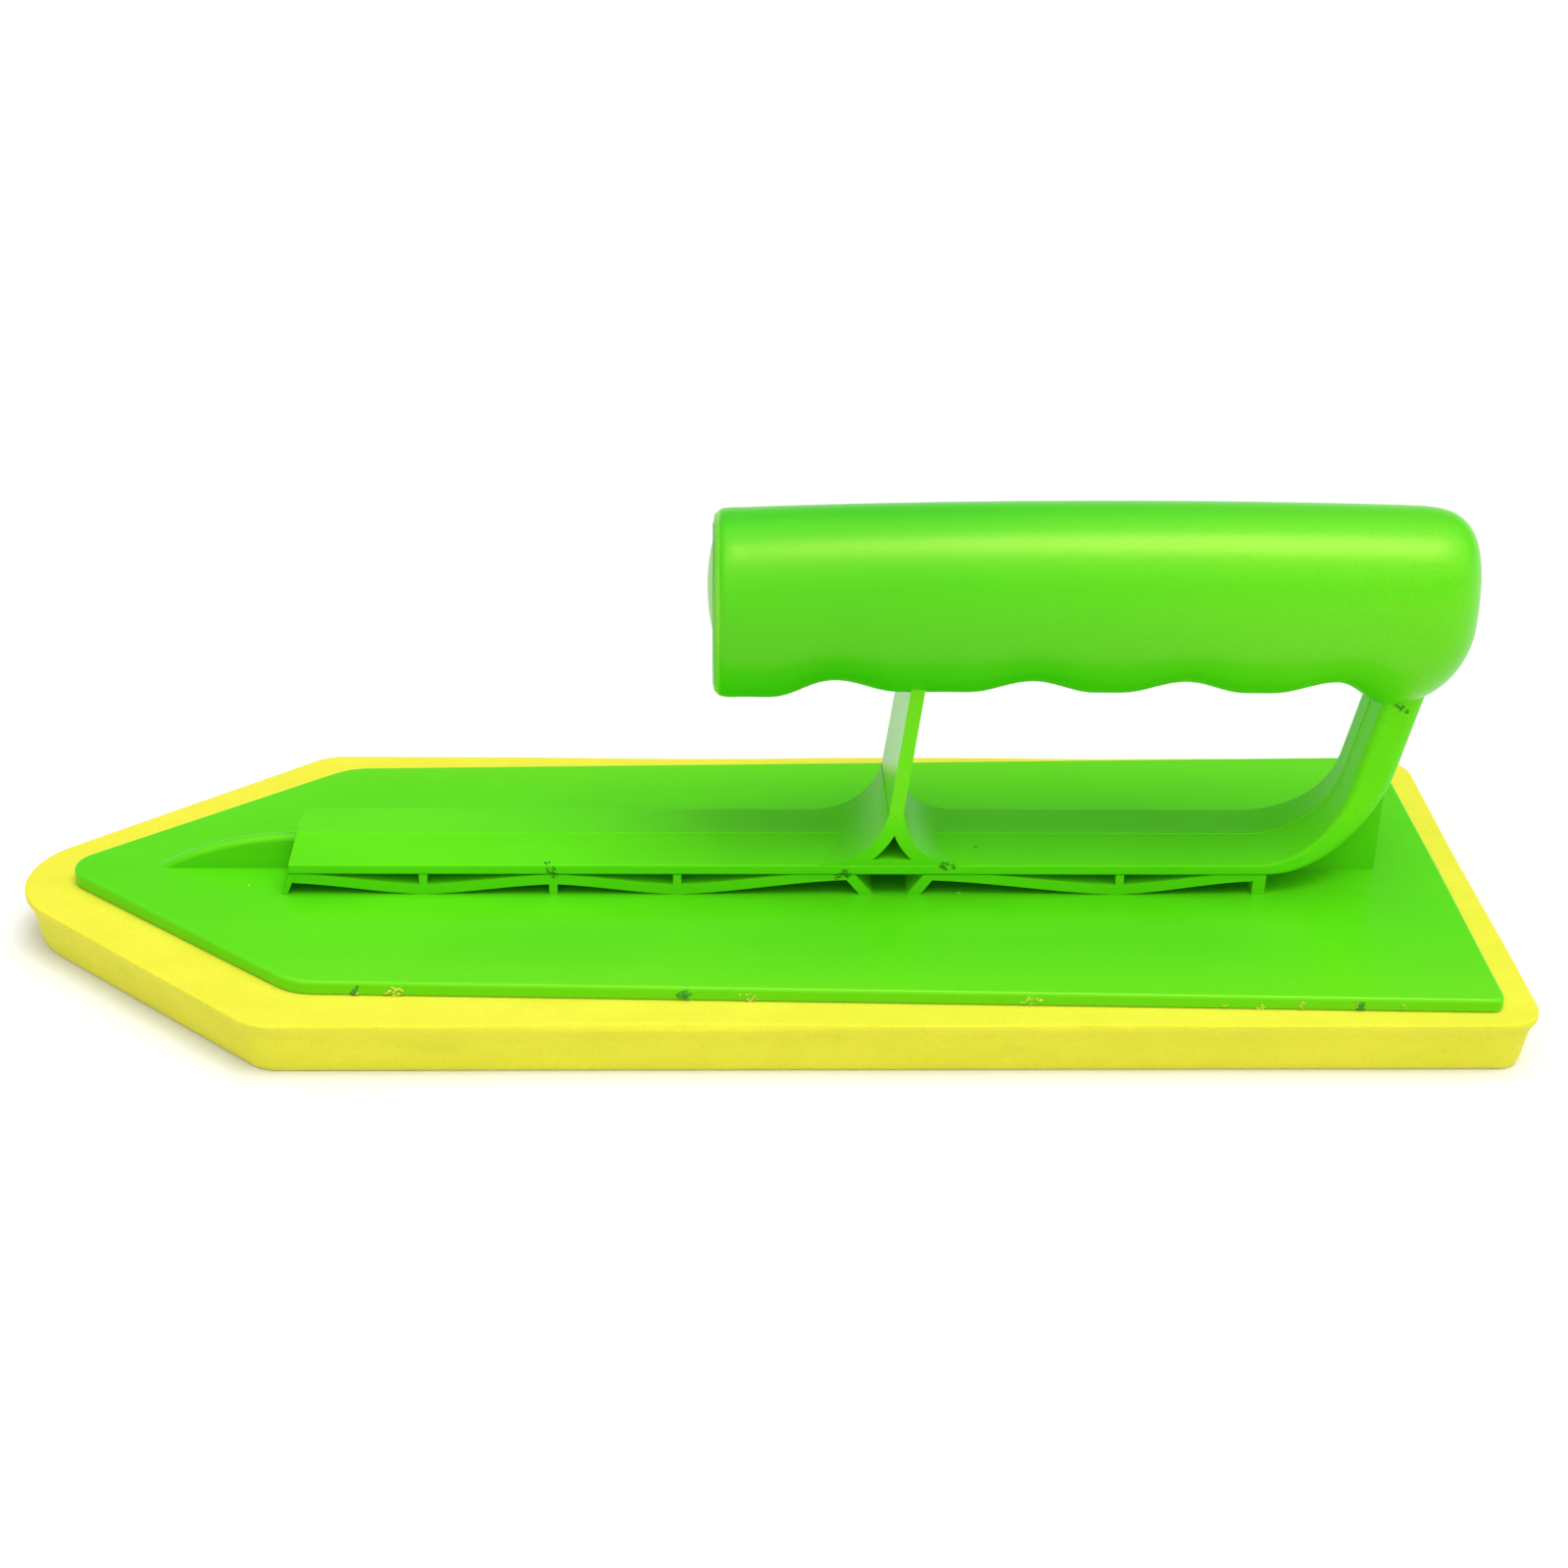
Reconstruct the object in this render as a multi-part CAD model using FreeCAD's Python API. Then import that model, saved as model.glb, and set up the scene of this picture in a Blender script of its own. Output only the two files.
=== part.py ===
"""Pointed-nose grout float: a soft foam pad under a ribbed plastic plate with a bow handle.

Millimetres. +Z is up, the nose points to -X, and the origin lies under the middle of the
pad, on its working face. The float is symmetric about the plane Y = 0. Left and right are
the user's, standing behind the handle and looking along the nose: left is -Y.
"""
import FreeCAD, Part
import math
import os

Vector = FreeCAD.Vector

# ---- driving dimensions ----------------------------------------------------------------

# foam pad
PAD_LENGTH = 254.0
PAD_WIDTH = 94.0
PAD_THICK = 10.0
PAD_NOSE_ANGLE = 41.0
PAD_TIP_RADIUS = 15.0
PAD_SHOULDER_RADIUS = 9.0
PAD_CORNER_RADIUS = 6.0
SMALLEST_RADIUS = 0.4
PAD_WALL = ((2.6, 0.0), (2.1, 0.7), (1.0, 8.0), (0.0, 8.7), (0.0, PAD_THICK))

# adhesive film and the beads that were squeezed out of it
GLUE_THICK = 0.2
GLUE_INSET = 0.8
BEADS = (
    (-65.0, 0.7), (-60.5, 0.5), (-12.4, 0.8), (-1.6, 0.9),
    (43.8, 0.6), (81.0, 0.6), (88.0, 0.6), (96.8, 1.1),
)
BEAD_SINK = 1 / 3

# plastic plate
PLATE_EDGE_THICK = 2.2
PLATE_GABLE = 0.4
PLATE_NOSE_GAP = 8.8
PLATE_NOSE_ANGLE = 39.4
PLATE_REAR_GAP = 6.1
PLATE_NOSE_WIDTH = 74.8
PLATE_REAR_WIDTH = 86.4
PLATE_TIP_RADIUS = 5.0
PLATE_SHOULDER_RADIUS = 10.0
PLATE_CORNER_RADIUS = 2.0
PLATE_EDGE_ROUND = 0.6

# stiffening rail, with the truss under it
RAIL_FRONT_X = -79.4
RAIL_REAR_X = 83.0
RAIL_WIDTH = 20.4
RAIL_LIFT = 4.2
RAIL_EDGE_THICK = 2.0
RAIL_CROWN = 0.8
RAIL_LOWER_ROUND = 0.5
RAIL_UPPER_ROUND = 0.4
PARTING_BEAD = 0.3
WEB_THICK = 2.4
STRIP_THICK = 1.9
MEMBER_SETBACK = 0.2
FRONT_WALL_THICK = 1.0
FRONT_WALL_LEAN = 1.9
FRONT_FIN_LENGTH = 25.0
FRONT_FIN_DROP = 1.4
FRONT_FIN_SHOULDER = 0.46
FRONT_FIN_SINK = 0.3
FRONT_FIN_ROUND = 0.96
ROOT_OVERLAP = 0.5
GUSSET_REAR_X = 109.0
GUSSET_BLANK_RISE = 14.0

# truss members, by the place of their middle along the rail
WAVE_CRESTS = (-79.4, -34.7, 15.8, 29.8, 86.0)
CREST_DROPS = (1.7, 1.9, 1.0, 1.05, 1.15)
WAVE_TROUGHS = (-56.8, -13.5, 62.2)
WAVE_SWING = 0.55
TROUGH_SINK = 0.1
END_STRUT_X = 86.8
REAR_UPPER_STRUT_SHIFT = 0.4
UPPER_STRUT_THICK = 1.4
LOWER_STRUT_THICK = 1.4
END_STRUT_THICK = 2.2
BRACE_TOP_X = (15.8, 29.8)
BRACE_FOOT_X = (19.2, 26.9)
BRACE_THICK = 2.3

# front post, a thin leaning plate on a forked foot
POST_LEAN = 7.0
POST_THICK = 2.4
POST_FOOT_X = 22.4
POST_HALF_WIDTH_TOP = 8.6
FORK_FRONT_RADIUS = 11.8
FORK_REAR_RADIUS = 10.0
FORK_THICK = 2.3
FORK_FLOOR = 1.0
POST_SETBACK = 0.1
FORK_TOP_Z = 29.3
FORK_JOINT_DROP = 1.5
POST_TOP_DROP = 6.0

# rear post, the rail's end bent up and thickened
REAR_LEAN = 12.0
REAR_INNER_RADIUS = 16.0
REAR_OUTER_RADIUS = 21.7
REAR_LEAD = 3.0
REAR_OUTER_START = 2.5
REAR_POST_WIDTH = 11.8
REAR_POST_ROUND = 2.9
REAR_CLIMB = 22.0
REAR_NARROWING = 0.55

# handle
HANDLE_FRONT_X = -7.6
HANDLE_REAR_X = 118.9
HANDLE_MID_Z = 63.0
HANDLE_TOP_Z = 80.1
HANDLE_LOBE_Z = 48.2
HANDLE_HALF_WIDTH = 14.6
HANDLE_CROWN = 1.8
HANDLE_CROWN_X = 68.0
HANDLE_SWELL = 0.5
HANDLE_UPPER_POWER = 2.25
HANDLE_LOWER_POWER = 2.05
HANDLE_EDGE_ROUND = 2.2
CAP_LENGTH = 13.0
CAP_POWER_TOP = 4.8
CAP_POWER_SIDE = 3.0
CAP_POWER_BOTTOM = 2.1
GROOVE_DEPTH = 2.3
GROOVE_HALF_WIDTH = 10.6
FINGER_PITCH = 25.5
LAST_GROOVE_X = 96.6
INDEX_GROOVE_X = 12.7
FRONT_LOBE_DROP = 1.2
FRONT_LOBE_X = 2.0
FRONT_LOBE_FADE = 10.0
NECK_DROP = 2.2
NECK_FADE = 9.0

# plug in the handle's cored front end
BORE_RADIUS = 6.6
BORE_TIP_RADIUS = 5.2
BORE_DEPTH = 104.0
BORE_Z = 66.0
PLUG_RADIUS = 7.6
PLUG_DOME = 0.9
PLUG_STEM_LENGTH = 7.0
PLUG_CLEARANCE = 0.1

# ---- places that follow from them ------------------------------------------------------

PAD_FRONT_X = -PAD_LENGTH / 2
PAD_REAR_X = PAD_LENGTH / 2
PLATE_BASE_Z = PAD_THICK + GLUE_THICK
PLATE_EDGE_Z = PLATE_BASE_Z + PLATE_EDGE_THICK
PLATE_RIDGE_Z = PLATE_EDGE_Z + PLATE_GABLE
RAIL_UNDER_Z = PLATE_EDGE_Z + RAIL_LIFT
RAIL_EDGE_Z = RAIL_UNDER_Z + RAIL_EDGE_THICK
RAIL_RIDGE_Z = RAIL_EDGE_Z + RAIL_CROWN
RAIL_HALF = RAIL_WIDTH / 2
WEB_HALF = WEB_THICK / 2
WEB_REAR_X = RAIL_REAR_X + REAR_LEAD + 2
UPPER_STRUT_X = WAVE_TROUGHS[:2] + (WAVE_TROUGHS[2] + REAR_UPPER_STRUT_SHIFT,)
FRONT_SPANS = ((0, 0, False), (1, 0, True), (1, 1, False), (2, 1, True))
REAR_SPANS = ((3, 2, False), (4, 2, True))


# ---- shape helpers ---------------------------------------------------------------------

def rounded_polygon(corners, radii, z):
    """Closed wire at height z with every corner of the polygon turned into an arc."""
    count = len(corners)
    starts = []
    ends = []
    middles = []
    for index, corner in enumerate(corners):
        before = (corners[index - 1] - corner).normalize()
        after = (corners[(index + 1) % count] - corner).normalize()
        half = before.getAngle(after) / 2
        reach = radii[index] / math.tan(half)
        toward = (before + after).normalize()
        centre = corner + toward * (radii[index] / math.sin(half))
        starts.append(corner + before * reach)
        ends.append(corner + after * reach)
        middles.append(centre - toward * radii[index])
    lift = Vector(0, 0, z)
    edges = []
    for index in range(count):
        follower = (index + 1) % count
        arc = Part.Arc(starts[index] + lift, middles[index] + lift, ends[index] + lift)
        edges.append(arc.toShape())
        edges.append(Part.makeLine(ends[index] + lift, starts[follower] + lift))
    return Part.Wire(edges)


def pointed_outline(front_x, rear_x, nose_half, rear_half, nose_angle, radii, inset, z):
    """Five-sided outline with its nose at front_x, moved in by inset all round."""
    tip_radius, shoulder_radius, corner_radius = radii
    angle = math.radians(nose_angle)
    point_x = front_x - tip_radius * (1 / math.sin(angle) - 1)
    shoulder_x = point_x + nose_half / math.tan(angle)
    point_x += inset / math.sin(angle)
    shoulder_x += inset * math.tan(math.pi / 4 - angle / 2)
    corners = [
        Vector(point_x, 0, 0),
        Vector(shoulder_x, -(nose_half - inset), 0),
        Vector(rear_x - inset, -(rear_half - inset), 0),
        Vector(rear_x - inset, rear_half - inset, 0),
        Vector(shoulder_x, nose_half - inset, 0),
    ]
    arcs = [tip_radius, shoulder_radius, corner_radius, corner_radius, shoulder_radius]
    return rounded_polygon(corners, [max(radius - inset, SMALLEST_RADIUS) for radius in arcs], z)


def face_in_xz(points, y):
    """Flat face at one Y from (x, z) corners."""
    corners = [Vector(x, y, z) for x, z in points]
    return Part.Face(Part.makePolygon(corners + corners[:1]))


def slab(face, width):
    """Face at Y = -width / 2 drawn out to Y = width / 2."""
    return face.extrude(Vector(0, width, 0))


def box(x0, x1, y0, y1, z0, z1):
    return Part.makeBox(x1 - x0, y1 - y0, z1 - z0, Vector(x0, y0, z0))


def ease(value):
    """Smooth step from 0 to 1."""
    value = min(max(value, 0.0), 1.0)
    return value * value * (3 - 2 * value)


def mirrored(shape):
    return shape.mirror(Vector(0, 0, 0), Vector(0, 1, 0))


# ---- pad, glue and plate ---------------------------------------------------------------

def pad_outline(inset, z):
    radii = (PAD_TIP_RADIUS, PAD_SHOULDER_RADIUS, PAD_CORNER_RADIUS)
    half = PAD_WIDTH / 2
    return pointed_outline(PAD_FRONT_X, PAD_REAR_X, half, half, PAD_NOSE_ANGLE, radii, inset, z)


def plate_outline(inset, z):
    radii = (PLATE_TIP_RADIUS, PLATE_SHOULDER_RADIUS, PLATE_CORNER_RADIUS)
    front_x = PAD_FRONT_X + PLATE_NOSE_GAP
    rear_x = PAD_REAR_X - PLATE_REAR_GAP
    nose_half = PLATE_NOSE_WIDTH / 2
    rear_half = PLATE_REAR_WIDTH / 2
    return pointed_outline(
        front_x, rear_x, nose_half, rear_half, PLATE_NOSE_ANGLE, radii, inset, z)


def make_foam_pad():
    """Die-cut foam: a lip round the top, and a wall that leans in towards the bottom."""
    return Part.makeLoft([pad_outline(inset, z) for inset, z in PAD_WALL], True, True)


def make_glue_film():
    face = Part.Face(plate_outline(GLUE_INSET, PAD_THICK))
    return face.extrude(Vector(0, 0, GLUE_THICK))


def make_base_plate():
    """Plate whose top falls a little from its middle line to both sides."""
    blank = Part.Face(plate_outline(0, PLATE_BASE_Z)).extrude(Vector(0, 0, PLATE_EDGE_THICK + 1))
    half = PLATE_REAR_WIDTH / 2
    roof = [
        Vector(PAD_FRONT_X, -half - 1, PLATE_BASE_Z - 1),
        Vector(PAD_FRONT_X, half + 1, PLATE_BASE_Z - 1),
        Vector(PAD_FRONT_X, half + 1, PLATE_EDGE_Z),
        Vector(PAD_FRONT_X, 0, PLATE_RIDGE_Z),
        Vector(PAD_FRONT_X, -half - 1, PLATE_EDGE_Z),
    ]
    under_roof = Part.Face(Part.makePolygon(roof + roof[:1])).extrude(Vector(PAD_LENGTH, 0, 0))
    plate = blank.common(under_roof)
    rim = []
    for edge in plate.Edges:
        middle = edge.valueAt((edge.FirstParameter + edge.LastParameter) / 2)
        along_ridge = abs(middle.y) < 1 and edge.Length > PAD_LENGTH / 2
        if edge.BoundBox.ZMin > PLATE_BASE_Z + 1 and not along_ridge:
            rim.append(edge)
    return plate.makeFillet(PLATE_EDGE_ROUND, rim)


def make_glue_beads(plate):
    """Small blobs of squeezed-out glue along the left edge of the plate."""
    half_growth = (PLATE_REAR_WIDTH - PLATE_NOSE_WIDTH) / 2
    shoulder_x = PAD_FRONT_X + PLATE_NOSE_GAP + PLATE_NOSE_WIDTH / 2
    rear_x = PAD_REAR_X - PLATE_REAR_GAP
    above_pad = box(PAD_FRONT_X, PAD_REAR_X, -PAD_WIDTH, 0, PAD_THICK, PLATE_EDGE_Z)
    beads = []
    for x, radius in BEADS:
        along = (x - shoulder_x) / (rear_x - shoulder_x)
        edge_y = -(PLATE_NOSE_WIDTH / 2 + half_growth * along)
        bead = Part.makeSphere(radius, Vector(x, edge_y - radius * BEAD_SINK, PAD_THICK))
        beads.append(bead.common(above_pad).cut(plate))
    return Part.makeCompound(beads)


# ---- rail and truss --------------------------------------------------------------------

def flange_section(upper, lower, half, crown, upper_round, lower_round):
    """Closed section of the rail, between a point on its ridge and one under it.

    The upper face slopes down to both sides from a fine bead on the parting line.
    """
    across = upper - lower
    thick = across.Length
    up = across.normalize()
    bead = PARTING_BEAD / 2
    edge_up = thick - crown

    def at(y, n):
        return lower + up * n + Vector(0, y, 0)

    def corner(sign, n, way, radius):
        """Flat end, middle and side end of a rounded corner."""
        bend = radius * (1 - math.sqrt(0.5))
        flat = at(sign * (half - radius), n)
        middle = at(sign * (half - bend), n - way * bend)
        side = at(sign * half, n - way * radius)
        return flat, middle, side

    ridge = at(0, thick)
    upper_right = corner(1, edge_up, 1, upper_round)
    lower_right = corner(1, 0, -1, lower_round)
    upper_left = corner(-1, edge_up, 1, upper_round)
    lower_left = corner(-1, 0, -1, lower_round)
    edges = [
        Part.makeLine(ridge, at(bead, thick - bead)),
        Part.makeLine(at(bead, thick - bead), upper_right[0]),
        Part.Arc(*upper_right).toShape(),
        Part.makeLine(upper_right[2], lower_right[2]),
        Part.Arc(*reversed(lower_right)).toShape(),
        Part.makeLine(lower_right[0], lower_left[0]),
        Part.Arc(*lower_left).toShape(),
        Part.makeLine(lower_left[2], upper_left[2]),
        Part.Arc(*reversed(upper_left)).toShape(),
        Part.makeLine(upper_left[0], at(-bead, thick - bead)),
        Part.makeLine(at(-bead, thick - bead), ridge),
    ]
    return Part.Wire(edges)


def make_top_rail():
    """Straight flange on top of the truss."""
    upper = Vector(RAIL_FRONT_X, 0, RAIL_RIDGE_Z)
    lower = Vector(RAIL_FRONT_X, 0, RAIL_UNDER_Z)
    section = flange_section(
        upper, lower, RAIL_HALF, RAIL_CROWN, RAIL_UPPER_ROUND, RAIL_LOWER_ROUND)
    return Part.Face(section).extrude(Vector(RAIL_REAR_X - RAIL_FRONT_X, 0, 0))


def side_strip(outline, side):
    """Truss member on one side of the web, from an (x, z) outline."""
    face = face_in_xz(outline, WEB_HALF)
    member = face.extrude(Vector(0, RAIL_HALF - MEMBER_SETBACK - WEB_HALF, 0))
    return member if side == "right" else mirrored(member)


def wave_height(x, crest, trough):
    """Lower face of the strip, from a crest under the rail to a trough on the plate."""
    crest_x = WAVE_CRESTS[crest]
    trough_x = WAVE_TROUGHS[trough]
    crest_z = RAIL_UNDER_Z - CREST_DROPS[crest]
    trough_z = PLATE_RIDGE_Z - TROUGH_SINK
    part_way = (x - crest_x) / (trough_x - crest_x)
    swing = (1 - math.cos(math.pi * part_way)) / 2
    blend = WAVE_SWING * swing + (1 - WAVE_SWING) * part_way
    return crest_z + (trough_z - crest_z) * blend


def make_wave_strip(spans, side):
    """Strip that runs down to each trough and up to the next crest, in order along X.

    A span is the numbers of its crest and its trough, and whether it climbs. The rail's
    underside cuts the strip off flat where a crest would reach into it.
    """
    steps = 10
    lower = []
    for crest, trough, climbs in spans:
        ends = [WAVE_CRESTS[crest], WAVE_TROUGHS[trough]]
        if climbs:
            ends.reverse()
        for step in range(steps + 1):
            x = ends[0] + (ends[1] - ends[0]) * step / steps
            if not lower or x > lower[-1][0]:
                lower.append((x, wave_height(x, crest, trough)))
    upper = [(x, min(z + STRIP_THICK, RAIL_UNDER_Z)) for x, z in reversed(lower)]
    return side_strip(lower + upper, side)


def make_strut(x, thick, low_z, high_z, side):
    low = x - thick / 2
    high = x + thick / 2
    return side_strip([(low, low_z), (high, low_z), (high, high_z), (low, high_z)], side)


def make_brace(top_x, foot_x, side):
    """Slanting leg between the rail and the plate, under the front post."""
    half = BRACE_THICK / 2
    outline = [
        (foot_x - half, PLATE_EDGE_Z),
        (foot_x + half, PLATE_EDGE_Z),
        (top_x + half, RAIL_UNDER_Z),
        (top_x - half, RAIL_UNDER_Z),
    ]
    return side_strip(outline, side)


def make_front_wall():
    """End wall that closes the truss at the nose and leans back a little."""
    foot_z = PLATE_EDGE_Z - ROOT_OVERLAP
    outline = [
        (RAIL_FRONT_X - FRONT_WALL_LEAN, foot_z),
        (RAIL_FRONT_X - FRONT_WALL_LEAN + FRONT_WALL_THICK, foot_z),
        (RAIL_FRONT_X + FRONT_WALL_THICK, RAIL_UNDER_Z),
        (RAIL_FRONT_X, RAIL_UNDER_Z),
    ]
    return slab(face_in_xz(outline, -RAIL_HALF), RAIL_WIDTH)


def make_centre_web():
    """Upright rib on the middle plane, behind the leaning wall, from plate to rail."""
    outline = [
        (RAIL_FRONT_X - FRONT_WALL_LEAN + FRONT_WALL_THICK, PLATE_EDGE_Z - ROOT_OVERLAP),
        (WEB_REAR_X, PLATE_EDGE_Z - ROOT_OVERLAP),
        (WEB_REAR_X, RAIL_UNDER_Z),
        (RAIL_FRONT_X + FRONT_WALL_THICK, RAIL_UNDER_Z),
    ]
    return slab(face_in_xz(outline, -WEB_HALF), WEB_THICK)


def make_front_fin():
    """Rib that fades the rail out towards the nose along a rising curve."""
    tail = Vector(RAIL_FRONT_X - FRONT_FIN_LENGTH, -WEB_HALF, PLATE_EDGE_Z)
    top = Vector(RAIL_FRONT_X, -WEB_HALF, RAIL_RIDGE_Z - FRONT_FIN_SINK)
    wall_top = Vector(RAIL_FRONT_X, -WEB_HALF, RAIL_UNDER_Z)
    foot = Vector(RAIL_FRONT_X - FRONT_WALL_LEAN, -WEB_HALF, PLATE_EDGE_Z - ROOT_OVERLAP)
    tail_foot = Vector(tail.x, -WEB_HALF, foot.z)
    rise = top.z - tail.z
    shoulder_x = RAIL_FRONT_X - FRONT_FIN_SHOULDER * FRONT_FIN_LENGTH
    shoulder = Vector(shoulder_x, -WEB_HALF, tail.z + rise - FRONT_FIN_DROP)
    edges = [
        Part.Arc(tail, shoulder, top).toShape(),
        Part.makeLine(top, wall_top),
        Part.makeLine(wall_top, foot),
        Part.makeLine(foot, tail_foot),
        Part.makeLine(tail_foot, tail),
    ]
    fin = Part.Face(Part.Wire(edges)).extrude(Vector(0, WEB_THICK, 0))
    crest = [edge for edge in fin.Edges if isinstance(edge.Curve, Part.Circle)]
    return fin.makeFillet(FRONT_FIN_ROUND, crest)


# ---- front post ------------------------------------------------------------------------

def post_face_x(z, offset):
    """X of the post's leaning middle plane at a height, moved along X by offset."""
    return POST_FOOT_X + offset + (z - RAIL_EDGE_Z) * math.tan(math.radians(POST_LEAN))


def fork_centres():
    """Centres of the two arcs that flare the post into its foot."""
    front_x = post_face_x(FORK_TOP_Z, -POST_THICK / 2) - FORK_FRONT_RADIUS
    rear_x = post_face_x(FORK_TOP_Z, POST_THICK / 2) + FORK_REAR_RADIUS
    front = Vector(front_x, 0, RAIL_EDGE_Z + FORK_FRONT_RADIUS)
    rear = Vector(rear_x, 0, RAIL_EDGE_Z + FORK_REAR_RADIUS)
    return front, rear


def y_cylinder(centre, radius):
    base = Vector(centre.x, -RAIL_HALF, centre.z)
    return Part.makeCylinder(radius, RAIL_WIDTH, base, Vector(0, 1, 0))


def post_envelope():
    """Tapering width of the post, almost as wide as the rail at its foot."""
    foot_half = RAIL_HALF - POST_SETBACK
    corners = [
        Vector(0, -foot_half, RAIL_UNDER_Z),
        Vector(0, foot_half, RAIL_UNDER_Z),
        Vector(0, foot_half, RAIL_RIDGE_Z),
        Vector(0, POST_HALF_WIDTH_TOP, HANDLE_MID_Z),
        Vector(0, -POST_HALF_WIDTH_TOP, HANDLE_MID_Z),
        Vector(0, -foot_half, RAIL_RIDGE_Z),
    ]
    face = Part.Face(Part.makePolygon(corners + corners[:1]))
    return face.extrude(Vector(PAD_LENGTH / 4, 0, 0))


def make_post_stem():
    """The thin leaning plate above the fork."""
    half = POST_THICK / 2
    low = FORK_TOP_Z - FORK_JOINT_DROP
    high = HANDLE_MID_Z - POST_TOP_DROP
    outline = [
        (post_face_x(low, -half), low),
        (post_face_x(low, half), low),
        (post_face_x(high, half), high),
        (post_face_x(high, -half), high),
    ]
    return slab(face_in_xz(outline, -RAIL_HALF), RAIL_WIDTH).common(post_envelope())


def make_fork():
    """Both curved legs of the foot, and the web that fills the triangle between them."""
    front, rear = fork_centres()
    top_z = FORK_TOP_Z - FORK_JOINT_DROP
    block = box(front.x, rear.x, -RAIL_HALF, RAIL_HALF, RAIL_EDGE_Z - ROOT_OVERLAP, top_z)
    body = block.cut(y_cylinder(front, FORK_FRONT_RADIUS)).cut(y_cylinder(rear, FORK_REAR_RADIUS))
    ring_front = y_cylinder(front, FORK_FRONT_RADIUS + FORK_THICK)
    ring_rear = y_cylinder(rear, FORK_REAR_RADIUS + FORK_THICK)
    above_floor = box(front.x, rear.x, -RAIL_HALF, RAIL_HALF, RAIL_EDGE_Z + FORK_FLOOR, top_z)
    hole = body.common(above_floor).cut(ring_front).cut(ring_rear)
    legs = body.cut(hole).common(post_envelope())
    split_x = (front.x + FORK_FRONT_RADIUS + rear.x - FORK_REAR_RADIUS) / 2
    front_half = box(front.x, split_x, -RAIL_HALF, RAIL_HALF, RAIL_UNDER_Z, top_z)
    web = hole.common(box(front.x, rear.x, -WEB_HALF, WEB_HALF, RAIL_UNDER_Z, top_z))
    return legs.common(front_half), legs.cut(front_half), web


# ---- rear post -------------------------------------------------------------------------

def bent_path(start, straight, radius, distance):
    """Point at a distance along a path: straight back, an arc upwards, then a lean."""
    turn = math.radians(90 - REAR_LEAN)
    if distance <= straight:
        return start + Vector(distance, 0, 0)
    angle = min((distance - straight) / radius, turn)
    point = start + Vector(straight + radius * math.sin(angle), 0, radius * (1 - math.cos(angle)))
    left = distance - straight - radius * turn
    if left > 0:
        point += Vector(math.cos(turn), 0, math.sin(turn)) * left
    return point


def make_rear_post():
    """Rail end that sweeps up, narrows and thickens into the handle's rear post."""
    turn = math.radians(90 - REAR_LEAN)
    inner_start = Vector(RAIL_REAR_X + REAR_LEAD, 0, RAIL_RIDGE_Z)
    outer_start = Vector(RAIL_REAR_X + REAR_LEAD, 0, RAIL_UNDER_Z)
    inner_length = REAR_INNER_RADIUS * turn + REAR_CLIMB
    outer_length = REAR_OUTER_START + REAR_OUTER_RADIUS * turn + REAR_CLIMB
    sections = []
    count = 16
    lead_count = 3
    for index in range(-lead_count, count + 1):
        along = index / count
        if index < 0:
            lead = Vector(REAR_LEAD * index / lead_count, 0, 0)
            inner = inner_start + lead
            outer = outer_start + lead
        else:
            inner = bent_path(inner_start, 0, REAR_INNER_RADIUS, along * inner_length)
            outer = bent_path(
                outer_start, REAR_OUTER_START, REAR_OUTER_RADIUS, along * outer_length)
        narrow = ease(along / REAR_NARROWING)
        half = RAIL_HALF + (REAR_POST_WIDTH / 2 - RAIL_HALF) * narrow
        crown = RAIL_CROWN * (1 - 0.5 * narrow)
        rear_round = RAIL_LOWER_ROUND + (REAR_POST_ROUND - RAIL_LOWER_ROUND) * narrow
        front_round = RAIL_UPPER_ROUND * (1 + 2 * narrow)
        sections.append(flange_section(inner, outer, half, crown, front_round, rear_round))
    return Part.makeLoft(sections, True)


def make_rear_gusset(rear_post):
    """Web under the bend of the rear post, back to an upright rear edge."""
    top_z = RAIL_UNDER_Z + GUSSET_BLANK_RISE
    blank = box(WEB_REAR_X, GUSSET_REAR_X, -WEB_HALF, WEB_HALF, PLATE_EDGE_Z, top_z)
    pieces = blank.cut(rear_post).Solids
    return min(pieces, key=lambda piece: piece.BoundBox.ZMin)


# ---- handle ----------------------------------------------------------------------------

def groove_rise(x):
    """How far the finger grooves lift the handle's underside at x."""
    centres = [LAST_GROOVE_X - FINGER_PITCH * index for index in range(3)]
    rise = 0.0
    for centre in centres + [INDEX_GROOVE_X]:
        away = abs(x - centre) / GROOVE_HALF_WIDTH
        if away < 1:
            rise += GROOVE_DEPTH * math.cos(math.pi * away / 2) ** 2
    return rise


def handle_top(x):
    span = HANDLE_CROWN_X - HANDLE_FRONT_X
    return HANDLE_TOP_Z - HANDLE_CROWN * ((x - HANDLE_CROWN_X) / span) ** 2


def handle_bottom(x):
    front_drop = FRONT_LOBE_DROP * (1 - ease((x - FRONT_LOBE_X) / FRONT_LOBE_FADE))
    neck_drop = NECK_DROP * ease((x - LAST_GROOVE_X) / NECK_FADE)
    return HANDLE_LOBE_Z - front_drop - neck_drop + groove_rise(x)


def cap_shrink(reach, power):
    """Size of the domed cap at a part of its length, from 1 at its start to 0 at its end."""
    return (1 - reach ** power) ** (1 / power)


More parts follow.
